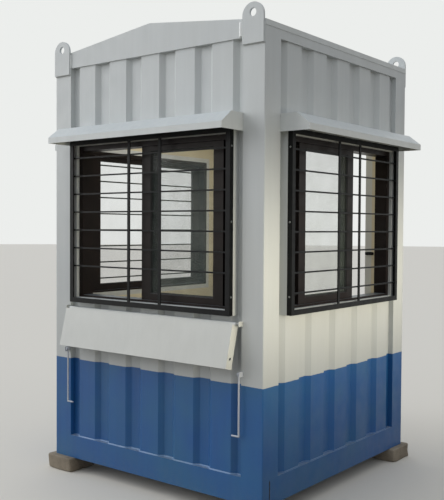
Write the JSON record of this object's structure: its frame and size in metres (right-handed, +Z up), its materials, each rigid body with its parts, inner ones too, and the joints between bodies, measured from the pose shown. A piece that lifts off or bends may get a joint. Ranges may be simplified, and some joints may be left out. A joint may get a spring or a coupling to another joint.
{
  "type": "security guard booth",
  "caption": "Small square steel guard booth with ribbed walls, grilled sliding windows under rain hoods, a folding counter, a rear doorway and lifting lugs.",
  "frame": {"origin": "on the ground under the middle of the booth, at the underside of its support blocks", "axes": "+Z up; the front with the folding counter faces -Y; +X is to the right of someone who looks at the front from outside; the doorway is in the back, +Y"},
  "size_m": [1.83, 1.829, 2.499],
  "materials": {
    "white_paint": "satin",
    "blue_paint": "satin",
    "roof_paint": "satin",
    "bare_frame_paint": "matte",
    "black_paint": "satin",
    "dark_aluminium": "satin",
    "window_glass": "clear",
    "cream_board": "matte",
    "floor_board": "matte",
    "door_paint": "satin",
    "hinge_steel": "satin",
    "concrete": "rough"
  },
  "bodies": {
    "booth": {"support_blocks": "concrete", "base_rails": "blue_paint", "floor_joists": "bare_frame_paint", "floor_board": "floor_board", "corner_posts": "white_paint", "eave_rails": "white_paint", "front_gable": "white_paint", "back_gable": "white_paint", "roof_sheet": "roof_paint", "ceiling_panel": "cream_board", "lifting_lugs": "white_paint", "front_wall_sheets": "white_paint", "right_wall_sheets": "white_paint", "left_wall_sheets": "white_paint", "back_wall_sheets": "white_paint", "front_lining": "cream_board", "right_lining": "cream_board", "left_lining": "cream_board", "back_lining": "cream_board", "window_glass": "window_glass", "flap_hinges": "white_paint", "stay_eyes": "white_paint", "door_frame": "door_paint", "door_leaf": "door_paint", "door_hinges": "hinge_steel", "door_handle": "hinge_steel", "front_window_surround": "white_paint", "front_window_track": "dark_aluminium", "front_window_sashes": "dark_aluminium", "front_window_grille": "black_paint", "front_hood": "white_paint", "right_window_surround": "white_paint", "right_window_track": "dark_aluminium", "right_window_sashes": "dark_aluminium", "right_window_grille": "black_paint", "right_hood": "white_paint", "left_window_surround": "white_paint", "left_window_track": "dark_aluminium", "left_window_sashes": "dark_aluminium", "left_window_grille": "black_paint", "left_hood": "white_paint"},
    "counter": {"counter_flap": "white_paint"},
    "left_stay": {"left_stay": "white_paint"},
    "right_stay": {"right_stay": "white_paint"}
  },
  "joints": [
    {"name": "counter_fold", "type": "hinge", "parent": "booth", "child": "counter", "pos_m": [0, -0.767, 0.959], "axis": [-1, 0, 0], "range_deg": [0, 76]},
    {"name": "left_stay_swing", "type": "hinge", "parent": "booth", "child": "left_stay", "pos_m": [-0.621, -0.77, 0.715], "axis": [-1, 0, 0], "range_deg": [0, 145.9]},
    {"name": "right_stay_swing", "type": "hinge", "parent": "booth", "child": "right_stay", "pos_m": [0.621, -0.77, 0.715], "axis": [-1, 0, 0], "range_deg": [0, 145.9]}
  ]
}
